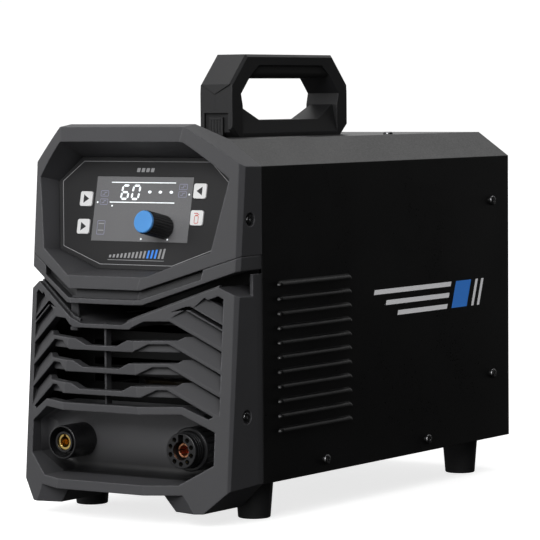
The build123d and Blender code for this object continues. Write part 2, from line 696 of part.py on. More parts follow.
# ---------------------------------------------------------------- torch socket
torch_x = socket_x
pin_circle = 10.4
pin_count = 9
torch_face_radius = 14.2
torch_bore_radius = 7.4
torch_tube_radius = 6.1
torch_body = rod((torch_x, socket_front_y, socket_z), backward, torch_face_radius,
                 socket_panel_y - socket_front_y)
torch_body = fillet(torch_body.edges().filter_by(GeomType.CIRCLE).sort_by(Axis.Y)[0], 0.8)
torch_body += rod((torch_x, socket_panel_y, socket_z), backward, 10.9, 10.0)
torch_body -= rod((torch_x, socket_front_y - 1, socket_z), backward, torch_tube_radius, 60)
torch_body -= rod((torch_x, socket_front_y - 1, socket_z), backward, torch_bore_radius, 17.0)
torch_body -= block(torch_x - 2.4, torch_x + 2.4, socket_front_y - 1, socket_front_y + 14.0,
                    socket_z + 6.5, socket_z + 12.8)
torch_spots = []
for i in range(1, pin_count + 1):
    angle = math.radians(90 + 36 * i)
    torch_spots.append((torch_x + pin_circle * math.cos(angle), socket_z + pin_circle * math.sin(angle)))
for x, z in torch_spots:
    torch_body -= rod((x, socket_front_y - 1, z), backward, 1.95, 16.0)
for groove in range(3):
    y0 = socket_front_y + 3.2 + groove * 2.6
    torch_body -= ring_y(torch_x, socket_z, torch_face_radius + 1.0, torch_face_radius - 0.8, y0, y0 + 1.1)
add("torch_socket_body", torch_body)

pins = []
for x, z in torch_spots:
    pin = rod((x, socket_front_y + 5.0, z), backward, 0.8, 10.0)
    pin += rod((x, socket_front_y + 13.0, z), backward, 1.94, 1.99)
    pins.append(pin)
add("torch_socket_pins", group(pins))

torch_contact = rod((torch_x, socket_front_y + 4.4, socket_z), backward, torch_tube_radius, 37.6)
torch_contact = chamfer(torch_contact.edges().filter_by(GeomType.CIRCLE).sort_by(Axis.Y)[0], 0.6)
torch_contact -= rod((torch_x, socket_front_y + 3.0, socket_z), backward, 4.3, 26.0)
torch_contact -= block(torch_x - 0.5, torch_x + 0.5, socket_front_y + 3.0, socket_front_y + 16.0,
                       socket_z - 7, socket_z + 7)
torch_contact -= block(torch_x - 7, torch_x + 7, socket_front_y + 3.0, socket_front_y + 16.0,
                       socket_z - 0.5, socket_z + 0.5)
torch_contact += rod((torch_x, socket_front_y + 42.0, socket_z), backward, 4.5, 4.0)
add("torch_socket_contact", torch_contact)

collar_radius = 17.4
collar = ring_y(torch_x, socket_z, collar_radius, torch_face_radius, socket_front_y + 11.5, socket_panel_y)
collar = chamfer(collar.edges().filter_by(GeomType.CIRCLE).sort_by(Axis.Y)[:2], 0.7)
collar_ribs = 20
for i in range(collar_ribs):
    angle = 2 * math.pi * i / collar_ribs
    x = torch_x + collar_radius * math.cos(angle)
    z = socket_z + collar_radius * math.sin(angle)
    collar -= rod((x, socket_front_y + 15.0, z), backward, 1.0, 40)
add("torch_socket_collar", collar)

# ---------------------------------------------------------------- carrying handle
def fore_and_aft(front_half):
    # Mirrors a Y, Z outline about the middle of the handle.
    rear_half = [(2 * handle_middle_y - y, z) for y, z in reversed(front_half)]
    return front_half + rear_half


handle_outer = fore_and_aft([(96.0, roof_height), (86.5, 309.0), (84.0, 313.0), (87.0, 344.7),
                             (111.0, 369.5)])
post_y = 104.0
arch = prism_x(handle_outer, -handle_half_width, handle_half_width)
side_edges = arch.faces().filter_by(Axis.X).edges().filter_by(lambda e: e.center().Z > roof_height + 1)
arch = chamfer(side_edges, 2.2)
arch -= prism_x(fore_and_aft([(post_y, roof_height - 1), (post_y, 327.0), (101.5, 336.7), (116.0, 352.0),
                              (128.0, 360.5)]), -20, 20)
# Lower front of each post: two faces that meet in a crease, under a V-shaped step
crease_outline = [(0, 86.9), (16.5, 88.6), (16.5, 78.0), (-16.5, 78.0), (-16.5, 88.6)]
step_outline = [(-17, roof_height), (17, roof_height), (17, 346.0), (0, 336.5), (-17, 346.0)]
crease_face = make_face(Polyline(*[(x, y, roof_height - 1) for x, y in crease_outline], close=True))
screw_length = 16.0
for at_rear in (False, True):
    recess = extrude(crease_face, amount=50, dir=(0, 0, 1)) & prism_y(step_outline, 78, 92)
    slot = block(-12, 12, 78, 91, roof_height - 1, 321)
    tongue_plate = block(-6.5, 6.5, 88.0, 91.5, 302.5, 317.5)
    for rib in range(4):
        tongue_plate -= block(-5.4 + rib * 3.0, -3.6 + rib * 3.0, 87.0, 88.7, 304.5, 315.5)
    if at_rear:
        flip = Plane(origin=(0, handle_middle_y, 0), z_dir=(0, 1, 0))
        recess = recess.mirror(flip)
        slot = slot.mirror(flip)
        tongue_plate = tongue_plate.mirror(flip)
    arch = arch - recess - slot + tongue_plate
for x, y in handle_screw_spots:
    arch -= rod((x, y, roof_height - 1), (0, 0, 1), 2.0, screw_length)
add("handle_arch", arch)

grip_half_width = 14.6
grip_outline = fore_and_aft([(121.0, 349.6), (116.0, 352.0), (128.0, 360.5)])
grip = prism_x(grip_outline, -grip_half_width, grip_half_width)
low_edges = grip.edges().filter_by(Axis.Y).sort_by(Axis.Z)[:2]
grip = fillet(low_edges, 5.0)
for i in range(14):
    y = handle_middle_y + (i - 6.5) * 7.0
    grip -= block(-20, 20, y - 0.9, y + 0.9, 349.0, 350.6)
add("handle_grip", grip)

plinth = prism_x(fore_and_aft([(post_y, roof_height), (post_y, 327.0), (105.5, 327.0), (131.7, 314.8)]),
                 -handle_half_width, handle_half_width)
plinth_sides = []
for side in (-1, 1):
    plinth_sides.append(Plane(origin=(side * handle_half_width, 0, roof_height + 3.0), z_dir=(side, 0, 0.22)))
plinth = behind(plinth, plinth_sides)
plinth -= block(-handle_half_width + 3, handle_half_width - 3, post_y + 3, 2 * handle_middle_y - post_y - 3,
                roof_height - 1, roof_height + 11)
plinth += block(-handle_half_width, handle_half_width, post_y, 2 * handle_middle_y - post_y,
                roof_height, roof_height + 1.5)
add("handle_plinth", plinth)

roof_underside = roof_height - cover_sheet
screws = []
for x, y in handle_screw_spots:
    shank_length = cover_sheet + screw_length - 2.0
    screws.append(button_screw((x, y, roof_underside), (0, 0, -1), 2.0, shank_length, 4.2, 2.8))
add("handle_screws", group(screws))

# ---------------------------------------------------------------- roof brace and cover screws
brace = block(-72, 72, 248, 268, roof_underside - 1.5, roof_underside)
for y0 in (248.0, 266.5):
    brace += block(-72, 72, y0, y0 + 1.5, roof_underside - 12.0, roof_underside)
for side in (-1, 1):
    brace -= rod((side * roof_screw_x, roof_screw_y, roof_underside + 1), (0, 0, -1), 2.0, 5)
for x, y in handle_screw_spots[2:]:
    brace -= rod((x, y, roof_underside + 1), (0, 0, -1), 5.5, 5)
add("roof_brace", brace)
screws = []
for side in (-1, 1):
    seat = (side * roof_screw_x, roof_screw_y, roof_height)
    screws.append(button_screw(seat, (0, 0, 1), 2.0, 8.0, 4.2, 2.2))
    for y, z in cover_screw_spots:
        screws.append(button_screw((side * cover_half_width, y, z), (side, 0, 0), 2.0, 8.0, 4.2, 2.2))
add("cover_screws", group(screws))
screws = []
for side in (-1, 1):
    for y, z in front_screw_spots:
        screws.append(button_screw((side * front_screw_seat, y, z), (side, 0, 0), 1.9, 8.0, 3.6, 1.3))
add("front_screws", group(screws))

# ---------------------------------------------------------------- rubber feet
feet = []
foot_screws = []
for x in (-foot_x, foot_x):
    for y in (foot_front_y, foot_rear_y):
        foot = cone((x, y, 0), (0, 0, 1), foot_bottom_radius, foot_top_radius, foot_height)
        foot = fillet(foot.edges().filter_by(GeomType.CIRCLE).sort_by(Axis.Z)[0], 1.2)
        foot -= rod((x, y, -1), (0, 0, 1), 6.0, foot_height - 5.5)
        foot -= rod((x, y, 0), (0, 0, 1), 2.5, foot_height + 1)
        feet.append(foot)
        screw = rod((x, y, foot_height - 10.5), (0, 0, 1), 4.6, 3.0)
        screw -= hexagon((x, y, foot_height - 11.5), (0, 0, 1), 4.0, 3.0)
        screw += rod((x, y, foot_height - 7.5), (0, 0, 1), 5.8, 1.0)
        screw += rod((x, y, foot_height - 8.0), (0, 0, 1), 2.5, 15.0)
        foot_screws.append(screw)
add("rubber_feet", group(feet))
add("foot_screws", group(foot_screws))

# ---------------------------------------------------------------- rear panel
rear_outline = inset(cover_outline, cover_sheet + sheet_gap)
rear_outline = [(x, z if z > cover_bottom + 5 else bulk_z0) for x, z in rear_outline]
rear = prism_y(rear_outline, rear_y, rear_y + rear_thick)
for side in (-1, 1):
    x0 = min(side * tray_half, side * (tray_half - tray_sheet))
    x1 = max(side * tray_half, side * (tray_half - tray_sheet))
    rear += block(x0, x1, 352.0, rear_y + rear_thick, 56.0, 274.0)
    for y, z in cover_screw_spots[:2]:
        rear -= rod((side * (cover_half_width + 1), y, z), (-side, 0, 0), 2.0, 6)
rear -= rod((fan_x, rear_y - 1, fan_z), backward, 54.0, 4)
fan_hole_spots = [(fan_x + sx * 52.5, fan_z + sz * 52.5) for sx in (-1, 1) for sz in (-1, 1)]
for x, z in fan_hole_spots:
    rear -= rod((x, rear_y - 1, z), backward, 2.3, 4)
rear -= block(switch_x - 14.0, switch_x + 14.0, rear_y - 1, rear_y + 3, switch_z - 11.0, switch_z + 11.0)
rear -= rod((gland_x, rear_y - 1, gland_z), backward, 10.0, 4)
rear -= rod((inlet_x, rear_y - 1, inlet_z), backward, inlet_thread_radius, 4)
add("rear_panel", rear)

# Fan, with its square housing inside the panel and the wire guard outside
housing = Pos(fan_x, rear_y - fan_depth / 2, fan_z) * Box(fan_size, fan_depth, fan_size)
housing = fillet(housing.edges().filter_by(Axis.Y), 6.0)
housing -= rod((fan_x, rear_y - fan_depth - 1, fan_z), backward, fan_bore, fan_depth + 2)
for sx in (-1, 1):
    for sz in (-1, 1):
        corner_middle = Pos(fan_x + sx * 50.5, rear_y - fan_depth / 2, fan_z + sz * 50.5)
        corner = corner_middle * Box(26, fan_depth - 9.0, 26)
        ring = rod((fan_x, rear_y - fan_depth, fan_z), backward, fan_bore + 2.0, fan_depth)
        housing -= corner - ring
for x, z in fan_hole_spots:
    housing -= rod((x, rear_y - fan_depth - 1, z), backward, 2.0, fan_depth + 2)
hub_radius = 22.0
motor = rod((fan_x, rear_y - 8.0, fan_z), backward, hub_radius, 7.5)
motor += rod((fan_x, rear_y - 14.0, fan_z), backward, 5.0, 6.0)
for i in range(4):
    angle = 35.0 + 90.0 * i
    strut = Box(fan_bore - hub_radius + 4, 5.0, 3.6, align=(Align.MIN, Align.CENTER, Align.CENTER))
    strut = Pos(fan_x, rear_y - 4.0, fan_z) * Rot(0, angle, 0) * Pos(hub_radius - 2, 0, 0) * strut
    motor += strut & rod((fan_x, rear_y - 9, fan_z), backward, fan_bore + 0.5, 9)
spindle_bore = rod((fan_x, rear_y - 20.0, fan_z), backward, 2.05, 18.0)
add("fan_housing", housing + motor - spindle_bore)

rotor_front = rear_y - fan_depth + 3.0
rotor_back = rear_y - 10.0
rotor = rod((fan_x, rotor_front, fan_z), backward, hub_radius, rotor_back - rotor_front)
rotor -= rod((fan_x, rotor_front + 3.0, fan_z), backward, hub_radius - 2.0, 40.0)
rotor = fillet(rotor.edges().filter_by(GeomType.CIRCLE).sort_by(Axis.Y)[0], 2.0)
rotor += rod((fan_x, rotor_front, fan_z), backward, 2.0, rear_y - 3.0 - rotor_front)
blade_count = 7
blade_depth = 22.0
for i in range(blade_count):
    start = Plane(origin=(hub_radius - 1.0, 0, 0), x_dir=(0, 1, 0), z_dir=(1, 0, 0))
    end = Plane(origin=(rotor_radius - 1.5, 0, 0), x_dir=(0, 1, 0), z_dir=(1, 0, 0))
    root = start * Rot(0, 0, 38) * Rectangle(blade_depth + 2.0, 2.2)
    tip = end * Rot(0, 0, 58) * Rectangle(blade_depth + 10.0, 1.6)
    blade = loft([root, tip])
    middle = (rotor_front + rotor_back) / 2
    blade = Pos(fan_x, middle, fan_z) * Rot(0, 360.0 / blade_count * i, 0) * blade
    rotor += blade
limit = rod((fan_x, rotor_front + 0.5, fan_z), backward, rotor_radius, rotor_back - rotor_front - 1.0)
core = rod((fan_x, rotor_front - 1, fan_z), backward, hub_radius, 60.0)
add("fan_rotor", rotor & (limit + core))

guard_y = rear_y + rear_thick
wires = []
guard_rings = [14.0, 22.0, 30.0, 38.0, 46.0, 54.0]
wire_radius = 0.9
for radius in guard_rings:
    wires.append(Plane(origin=(fan_x, guard_y + 4.2, fan_z), z_dir=backward) * Torus(radius, wire_radius))
guard = wires[0]
for wire in wires[1:]:
    guard += wire
for i in range(4):
    angle = math.radians(45 + 90 * i)
    reach = 52.5 * math.sqrt(2)
    tip_x = fan_x + reach * math.cos(angle)
    tip_z = fan_z + reach * math.sin(angle)
    inner_x = fan_x + 13.5 * math.cos(angle)
    inner_z = fan_z + 13.5 * math.sin(angle)
    bend_x = fan_x + 63.0 * math.cos(angle)
    bend_z = fan_z + 63.0 * math.sin(angle)
    spoke = rod((inner_x, guard_y + 3.2, inner_z), (math.cos(angle), 0, math.sin(angle)), wire_radius, 49.5)
    drop = Vector(tip_x - bend_x, -2.3, tip_z - bend_z)
    spoke += rod((bend_x, guard_y + 3.2, bend_z), (drop.X, drop.Y, drop.Z), wire_radius, drop.length)
    spoke += Pos(bend_x, guard_y + 3.2, bend_z) * Sphere(wire_radius)
    spoke += ring_y(tip_x, tip_z, 4.4, 2.3, guard_y, guard_y + 1.8)
    guard += spoke
for x, z in fan_hole_spots:
    guard -= rod((x, guard_y - 1, z), backward, 2.3, 8)
    guard -= rod((x, guard_y + 1.8, z), backward, 4.0, 8)
guard &= block(-90, 90, guard_y, guard_y + 8, 0, 240)
add("fan_guard", guard)
screws = []
for x, z in fan_hole_spots:
    screws.append(button_screw((x, guard_y + 1.8, z), backward, 2.0, 16.0, 3.8, 2.2))
add("fan_screws", group(screws))

# ---------------------------------------------------------------- power switch
switch = block(switch_x - 13.8, switch_x + 13.8, rear_y - 22.0, guard_y, switch_z - 10.8, switch_z + 10.8)
switch += block(switch_x - 16.0, switch_x + 16.0, guard_y, guard_y + 2.2, switch_z - 13.0, switch_z + 13.0)
switch -= block(switch_x - 12.0, switch_x + 12.0, guard_y - 9.0, guard_y + 4, switch_z - 9.0, switch_z + 9.0)
for dx in (-8.0, 0.0, 8.0):
    switch += block(switch_x + dx - 2.4, switch_x + dx + 2.4, rear_y - 31.0, rear_y - 22.0,
                    switch_z - 0.4, switch_z + 0.4)
pivot_y = guard_y - 1.0
pivot_radius = 1.6
pivot_hole = rod((switch_x - 13.0, pivot_y, switch_z), (1, 0, 0), pivot_radius + 0.05, 26.0)
add("power_switch_body", switch - pivot_hole)
rocker_half = 8.6
profile = Plane.YZ * make_face(
    Line((-4.5, -rocker_half), (3.6, -rocker_half)) + Line((3.6, -rocker_half), (1.4, 0))
    + Line((1.4, 0), (3.6, rocker_half)) + Line((3.6, rocker_half), (-4.5, rocker_half))
    + ThreePointArc((-4.5, rocker_half), (-6.4, 0), (-4.5, -rocker_half)))
rocker = extrude(profile, amount=11.8, both=True)
rocker = rocker & Rot(0, 90, 0) * Cylinder(8.9, 30)
rocker += rod((-12.8, 0, 0), (1, 0, 0), pivot_radius, 25.6)
add("power_switch_rocker", Pos(switch_x, pivot_y, switch_z) * Rot(rocker_tilt, 0, 0) * rocker)

# ---------------------------------------------------------------- mains cable and gland
cable_radius = 5.0
gland = hexagon((gland_x, guard_y, gland_z), backward, 24.0, 6.0)
gland += rod((gland_x, rear_y - 8.0, gland_z), backward, 9.9, 9.6)
gland += rod((gland_x, guard_y + 6.0, gland_z), backward, 10.5, 3.0)
dome = hexagon((gland_x, guard_y + 9.0, gland_z), backward, 22.0, 7.0)
dome += cone((gland_x, guard_y + 16.0, gland_z), backward, 10.6, 7.2, 6.0)
gland += dome
gland -= rod((gland_x, rear_y - 10, gland_z), backward, cable_radius, 60)
add("cable_gland", gland)
lock = hexagon((gland_x, rear_y - 5.0, gland_z), backward, 26.0, 5.0)
lock -= rod((gland_x, rear_y - 6.0, gland_z), backward, 9.9, 8.0)
add("gland_lock_nut", lock)
cable = rod((gland_x, rear_end, gland_z), forward, cable_radius, rear_end - rear_y + 20.0)
for dz in (-2.2, 2.2):
    core_line = rod((gland_x, rear_end + 0.0, gland_z + dz), forward, 1.2, rear_end - rear_y + 34.0)
    cable += core_line
add("mains_cable", cable)

# ---------------------------------------------------------------- air inlet and valve
inlet = rod((inlet_x, rear_y - 12.0, inlet_z), backward, inlet_thread_radius, rear_thick + 12.0)
inlet += hexagon((inlet_x, guard_y, inlet_z), backward, 19.0, 9.0)
inlet += rod((inlet_x, guard_y + 9.0, inlet_z), backward, 5.6, 3.0)
inlet += rod((inlet_x, guard_y + 12.0, inlet_z), backward, inlet_thread_radius, rear_end - guard_y - 12.0)
inlet = chamfer(inlet.edges().filter_by(GeomType.CIRCLE).sort_by(Axis.Y)[-1], 0.8)
inlet -= rod((inlet_x, rear_y - 13.0, inlet_z), backward, 3.4, 60)
add("air_inlet", inlet)
valve = block(inlet_x - 14.0, inlet_x + 14.0, 346.0, rear_y - 2.0, inlet_z - 12.0, inlet_z + 12.0)
valve -= rod((inlet_x, rear_y - 12.0, inlet_z), backward, inlet_thread_radius, 20)
valve += rod((inlet_x, 366.0, inlet_z + 12.0), (0, 0, 1), 5.0, 4.0)
valve += block(inlet_x - 13.0, inlet_x + 13.0, 354.0, 378.0, inlet_z + 15.0, inlet_z + 43.0)
valve += rod((inlet_x, 346.0, inlet_z), forward, 4.5, 4.0)
hose_bore = 2.6
hose_radius = 4.0
valve += rod((inlet_x, 342.0, inlet_z), forward, hose_bore - 0.1, 3.0)
add("air_valve", valve)
hose_path = Spline((inlet_x, 342.0, inlet_z), (inlet_x + 4, 180.0, inlet_z - 4), (inlet_x + 40, 40.0, 170.0),
                   (torch_x, 22.0, 100.0), (torch_x, -2.6, socket_z), tangents=[(0, -1, 0), (0, -1, 0)])
hose_start = Plane(origin=(inlet_x, 342.0, inlet_z), z_dir=forward)
hose = sweep(hose_start * Circle(hose_radius), path=hose_path)
hose -= sweep(hose_start * Circle(hose_bore), path=hose_path)
add("air_hose", hose)

# ---------------------------------------------------------------- power parts inside the cover
board_top = board_z + 1.6
main_board = block(-88, 88, 42, 330, board_z, board_top)
for x in (-66.0, 58.0):
    main_board += block(x, x + 15.0, 44, 58, board_top, board_top + 16.0)
for row in range(5):
    for side in (-1, 1):
        y0 = 206 + row * 22
        main_board += block(side * 80 - 6, side * 80 + 6, y0, y0 + 14, board_top, board_top + 12)
add("main_board", main_board)

sinks = []
fin_count = 12
for side in (-1, 1):
    sink = block(46, 52, 125, 325, 56, 176)
    for fin in range(fin_count):
        z = 58.0 + fin * 10.4
        sink += block(6, 46, 125, 325, z, z + 1.8)
    for y in (140.0, 300.0):
        sink += block(46, 52, y - 6, y + 6, board_top, 56)
    if side < 0:
        sink = sink.mirror(Plane.YZ)
    sinks.append(sink)
add("heat_sinks", group(sinks))

core_x = -36.0
core_y = 90.0
core = block(core_x - 34, core_x + 34, core_y - 18, core_y + 18, board_top, board_top + 62)
for side in (-1, 1):
    core -= block(core_x + side * 17 - 7, core_x + side * 17 + 7, core_y - 20, core_y + 20,
                  board_top + 11, board_top + 51)
add("transformer_core", core)
winding = extrude(RectangleRounded(47.2, 63.2, 12) - Rectangle(20.4, 36.4), amount=39)
winding = Pos(core_x, core_y, board_top + 11.5) * winding
for row in range(9):
    band = extrude(RectangleRounded(60, 76, 18) - RectangleRounded(46.0, 62.0, 11.4), amount=0.8)
    winding -= Pos(core_x, core_y, board_top + 14.5 + row * 4.0) * band
add("transformer_winding", winding)

choke_x = 46.0
choke_y = 86.0
choke = Pos(choke_x, choke_y, board_top + 11.5) * (Cylinder(28, 23) - Cylinder(11, 30))
choke = fillet(choke.edges().filter_by(GeomType.CIRCLE), 4.0)
turns = 26
for i in range(turns):
    groove = Rot(0, 0, 360.0 / turns * i) * Pos(28, 0, 0) * Box(2.0, 1.0, 40)
    choke -= Pos(choke_x, choke_y, board_top + 11.5) * groove
add("output_choke", choke)

capacitors = []
for x in (-72.0, 72.0):
    for y in (140.0, 178.0):
        can = rod((x, y, board_top), (0, 0, 1), 16.0, 48.0)
        can = fillet(can.edges().filter_by(GeomType.CIRCLE), 1.5)
        waist = rod((x, y, board_top + 6.0), (0, 0, 1), 17.0, 1.2)
        can -= waist - rod((x, y, board_top), (0, 0, 1), 15.4, 10.0)
        capacitors.append(can)
add("bus_capacitors", group(capacitors))

cables = []
earth_stud_end = socket_panel_y + 28.0
path = Spline((earth_x, earth_stud_end, socket_z), (earth_x, 26.0, socket_z - 1.5), (earth_x, 44.0, socket_z),
              tangents=[(0, 1, 0), (0, 1, 0)])
start_plane = Plane(origin=(earth_x, earth_stud_end, socket_z), z_dir=backward)
cables.append(sweep(start_plane * Circle(4.0), path=path))
lead_x = torch_x + 7.0
path = Spline((lead_x, socket_panel_y + 10.0, socket_z - 5.0), (lead_x, 20.0, socket_z - 5.0),
              (lead_x, 44.0, socket_z - 2.0), tangents=[(0, 1, 0), (0, 1, 0)])
start_plane = Plane(origin=(lead_x, socket_panel_y + 10.0, socket_z - 5.0), z_dir=backward)
cables.append(sweep(start_plane * Circle(2.4), path=path))
add("socket_cables", group(cables))

# ---------------------------------------------------------------- write the nodes
for name, shape in nodes.items():
    export_step(Pos(0, -middle_y, 0) * shape, "parts/" + name + ".step")
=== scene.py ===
import json
import math

import bmesh
import bpy
from mathutils import Matrix, Vector


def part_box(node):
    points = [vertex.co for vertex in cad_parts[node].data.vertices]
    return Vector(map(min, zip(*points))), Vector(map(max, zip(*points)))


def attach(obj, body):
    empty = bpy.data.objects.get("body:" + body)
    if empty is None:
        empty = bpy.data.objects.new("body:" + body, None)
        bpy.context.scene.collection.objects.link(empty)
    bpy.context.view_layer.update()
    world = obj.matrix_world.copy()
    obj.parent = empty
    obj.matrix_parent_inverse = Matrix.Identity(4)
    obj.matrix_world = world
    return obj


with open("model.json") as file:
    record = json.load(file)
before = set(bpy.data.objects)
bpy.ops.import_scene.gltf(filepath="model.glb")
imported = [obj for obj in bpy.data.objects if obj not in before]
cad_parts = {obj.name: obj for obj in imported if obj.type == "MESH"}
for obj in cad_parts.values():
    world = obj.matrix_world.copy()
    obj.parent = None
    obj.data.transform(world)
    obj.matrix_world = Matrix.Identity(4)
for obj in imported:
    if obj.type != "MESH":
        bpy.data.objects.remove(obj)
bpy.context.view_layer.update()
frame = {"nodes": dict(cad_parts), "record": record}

MM = 0.001


# ------------------------------------------------------------------ material building blocks
NOISE_ROUGHNESS = 0.55
BEVEL_SAMPLES = 4
HOLLOW_SAMPLES = 6
MOTTLE_SCALE = 14.0
ROUGH_SPREAD = 0.08
SMUDGE_SPREAD = 0.04
HOLLOW_SHADE = 0.12


class Shader:
    """A material's node tree, with short calls for the pieces every finish here is made of."""

    def __init__(self, name):
        self.material = bpy.data.materials.new(name)
        self.material.use_nodes = True
        self.tree = self.material.node_tree
        self.tree.nodes.clear()
        self.output = self.add("ShaderNodeOutputMaterial")
        self.body = self.add("ShaderNodeBsdfPrincipled")
        self.link(self.body, "BSDF", self.output, "Surface")
        self.place = self.add("ShaderNodeTexCoord")

    def add(self, kind, **settings):
        node = self.tree.nodes.new(kind)
        for key, value in settings.items():
            setattr(node, key, value)
        return node

    def link(self, source, output, target, socket):
        self.tree.links.new(source.outputs[output], target.inputs[socket])

    def noise(self, scale, detail, stretch=(1, 1, 1)):
        mapping = self.add("ShaderNodeMapping")
        mapping.inputs["Scale"].default_value = stretch
        self.link(self.place, "Object", mapping, "Vector")
        node = self.add("ShaderNodeTexNoise")
        node.inputs["Scale"].default_value = scale
        node.inputs["Detail"].default_value = detail
        node.inputs["Roughness"].default_value = NOISE_ROUGHNESS
        self.link(mapping, "Vector", node, "Vector")
        return node

    def ranged(self, source, output, low, high, start=0.0, end=1.0):
        node = self.add("ShaderNodeMapRange")
        node.inputs["From Min"].default_value = start
        node.inputs["From Max"].default_value = end
        node.inputs["To Min"].default_value = low
        node.inputs["To Max"].default_value = high
        self.link(source, output, node, "Value")
        return node

    def mixed(self, factor, colour_a, colour_b):
        """Between two colours, each a tuple or another node's output, by the factor output."""
        node = self.add("ShaderNodeMix", data_type="RGBA")
        self.tree.links.new(factor, node.inputs["Factor"])
        for socket, colour in (("A", colour_a), ("B", colour_b)):
            target = [s for s in node.inputs if s.name == socket and s.type == "RGBA"][0]
            if isinstance(colour, tuple):
                target.default_value = (*colour, 1.0)
            else:
                self.tree.links.new(colour, target)
        return [s for s in node.outputs if s.type == "RGBA"][0]

    def maths(self, operation, a, b):
        """Of two values, each a number or another node's output."""
        node = self.add("ShaderNodeMath", operation=operation)
        for index, value in enumerate((a, b)):
            if isinstance(value, (int, float)):
                node.inputs[index].default_value = value
            else:
                self.tree.links.new(value, node.inputs[index])
        return node.outputs[0]

    def rounded(self, radius):
        """The surface direction with every sharp edge rounded to the radius."""
        node = self.add("ShaderNodeBevel", samples=BEVEL_SAMPLES)
        node.inputs["Radius"].default_value = radius
        return node

    def edge_mask(self, bevel):
        """1 along sharp edges, 0 on flat faces, broken up by noise: where the painted edge highlight goes,
        which also reads as rubbed wear.
        """
        geometry = self.add("ShaderNodeNewGeometry")
        dot = self.add("ShaderNodeVectorMath", operation="DOT_PRODUCT")
        self.link(bevel, "Normal", dot, 0)
        self.link(geometry, "Normal", dot, 1)
        edge = self.ranged(dot, "Value", 1.0, 0.0, 0.80, 0.985)
        edge_breakup = self.noise(240.0, 4.0)
        patch = self.ranged(edge_breakup, "Fac", 0.2, 1.0, 0.35, 0.65)
        return self.maths("MULTIPLY", edge.outputs[0], patch.outputs[0])

    def hollow_shade_mask(self, reach, share):
        """0 on open faces, up to share in grooves and corners, where painted shade darkens them."""
        near = self.add("ShaderNodeAmbientOcclusion", samples=HOLLOW_SAMPLES)
        near.inputs["Distance"].default_value = reach
        hidden = self.ranged(near, "AO", share, 0.0, 0.25, 0.85)
        return hidden.outputs[0]


def tint(colour, factor):
    """The colour made darker (factor under 1) or lighter, held at full white."""
    return tuple(min(1.0, c * factor) for c in colour)


def finish_material(name, colour, roughness, metallic=0.0, specular=0.5, mottle=0.12,
                    grain_scale=1800.0, grain_depth=0.02, stretch=(1, 1, 1),
                    edge_radius=0.5, edge_light=1.5, edge_share=0.55, hollow_dark=0.0, hollow_reach=9.0):
    """A surface with slow colour drift, fine surface grain and rounded edges with a painted highlight, partly
    rubbed wear; where asked, painted shade darkens its hollows.
    Depths, radii and reaches are in millimetres. Shades are shares of the base colour."""
    s = Shader(name)
    drift = s.noise(MOTTLE_SCALE, 4.0)
    shade = s.mixed(drift.outputs["Fac"], tint(colour, 1 - mottle), tint(colour, 1 + mottle))
    bevel = s.rounded(edge_radius * MM)
    # Painted highlight along sharp edges, partly rubbed wear: the edges are mixed towards a lighter tint
    edge_wear_and_highlight = s.maths("MULTIPLY", s.edge_mask(bevel), edge_share)
    base = s.mixed(edge_wear_and_highlight, shade, tint(colour, edge_light))
    # Painted shade: grooves, corners and recesses are darkened by ambient occlusion
    if hollow_dark:
        base = s.mixed(s.hollow_shade_mask(hollow_reach * MM, hollow_dark), base, tint(colour, HOLLOW_SHADE))
    s.tree.links.new(base, s.body.inputs["Base Color"])
    fine = s.noise(grain_scale, 2.0, stretch)
    rough = s.ranged(fine, "Fac", roughness - ROUGH_SPREAD, roughness + ROUGH_SPREAD, 0.25, 0.75)
    smudge = s.ranged(drift, "Fac", -SMUDGE_SPREAD, SMUDGE_SPREAD, 0.3, 0.7)
    total = s.maths("ADD", rough.outputs[0], smudge.outputs[0])
    s.tree.links.new(total, s.body.inputs["Roughness"])
    bump = s.add("ShaderNodeBump")
    bump.inputs["Strength"].default_value = 1.0
    bump.inputs["Distance"].default_value = grain_depth * MM
    s.link(fine, "Fac", bump, "Height")
    s.link(bevel, "Normal", bump, "Normal")
    s.link(bump, "Normal", s.body, "Normal")
    s.body.inputs["Metallic"].default_value = metallic
    s.body.inputs["Specular IOR Level"].default_value = specular
    return s


def plastic(name, colour, roughness=0.45, **more):
    return finish_material(name, colour, roughness, **more)


def metal(name, colour, roughness=0.3, **more):
    settings = dict(metallic=1.0, grain_scale=900.0, grain_depth=0.006, stretch=(1, 12, 1), mottle=0.06,
                    edge_light=1.15)
    settings.update(more)
    return finish_material(name, colour, roughness, **settings)


def rubber(name, colour, roughness=0.7, **more):
    settings = dict(specular=0.35, grain_scale=1100.0, grain_depth=0.03, edge_light=1.6)
    settings.update(more)
    return finish_material(name, colour, roughness, **settings)


